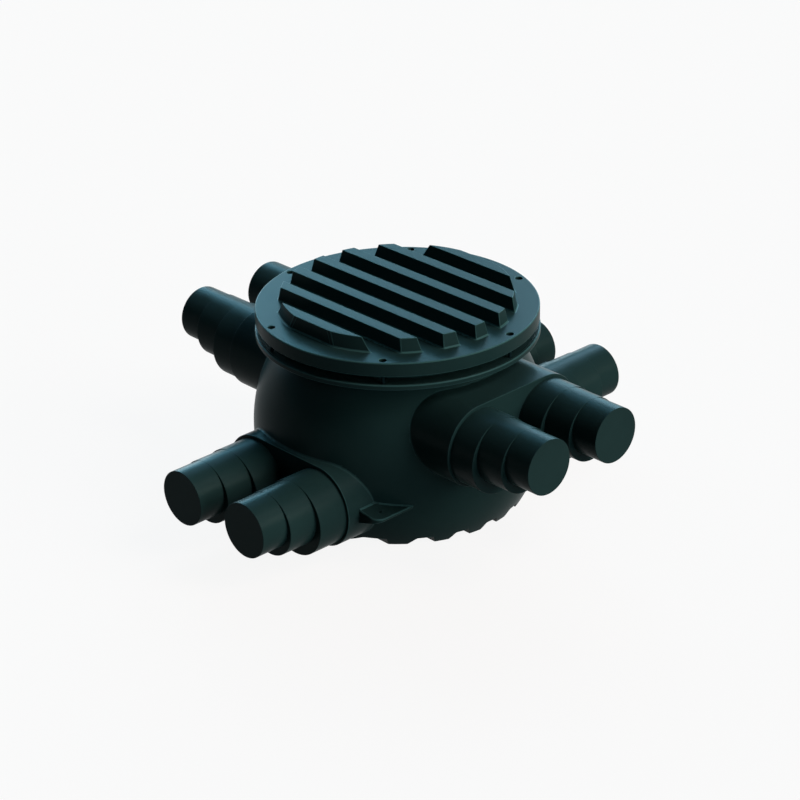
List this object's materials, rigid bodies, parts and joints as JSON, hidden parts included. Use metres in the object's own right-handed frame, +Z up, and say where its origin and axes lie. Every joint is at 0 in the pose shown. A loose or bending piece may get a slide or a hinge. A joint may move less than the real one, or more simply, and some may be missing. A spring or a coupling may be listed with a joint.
{
  "type": "insulated pipe chamber",
  "caption": "Underground junction chamber: spherical moulded shell with pairs of stepped pipe stubs on four sides, a grooved base, and a ribbed round lid bolted down on a seal.",
  "frame": {"origin": "middle of the base, on the surface that the chamber stands on", "axes": "+Z up through the lid's centre, +X along the high pair of stubs, Y along the low pair"},
  "size_m": [1.247, 1.227, 0.54],
  "materials": {
    "body_plastic": "satin black moulded polyethylene with a cool cast",
    "lid_plastic": "satin black moulded polyethylene with a cool cast",
    "seal_rubber": "matt black rubber",
    "foam": "pale grey rigid foam",
    "bolt_steel": "black coated steel"
  },
  "bodies": {
    "root": {"chamber_body": "body_plastic", "stub_high_1": "body_plastic", "stub_high_2": "body_plastic", "stub_high_3": "body_plastic", "stub_high_4": "body_plastic", "stub_low_1": "body_plastic", "stub_low_2": "body_plastic", "stub_low_3": "body_plastic", "stub_low_4": "body_plastic", "lid": "lid_plastic", "lid_seal": "seal_rubber", "lid_insulation": "foam", "lid_bolt_1": "bolt_steel", "lid_bolt_2": "bolt_steel", "lid_bolt_3": "bolt_steel", "lid_bolt_4": "bolt_steel", "lid_bolt_5": "bolt_steel", "lid_bolt_6": "bolt_steel", "thread_insert_1": "bolt_steel", "thread_insert_2": "bolt_steel", "thread_insert_3": "bolt_steel", "thread_insert_4": "bolt_steel", "thread_insert_5": "bolt_steel", "thread_insert_6": "bolt_steel"}
  },
  "joints": []
}
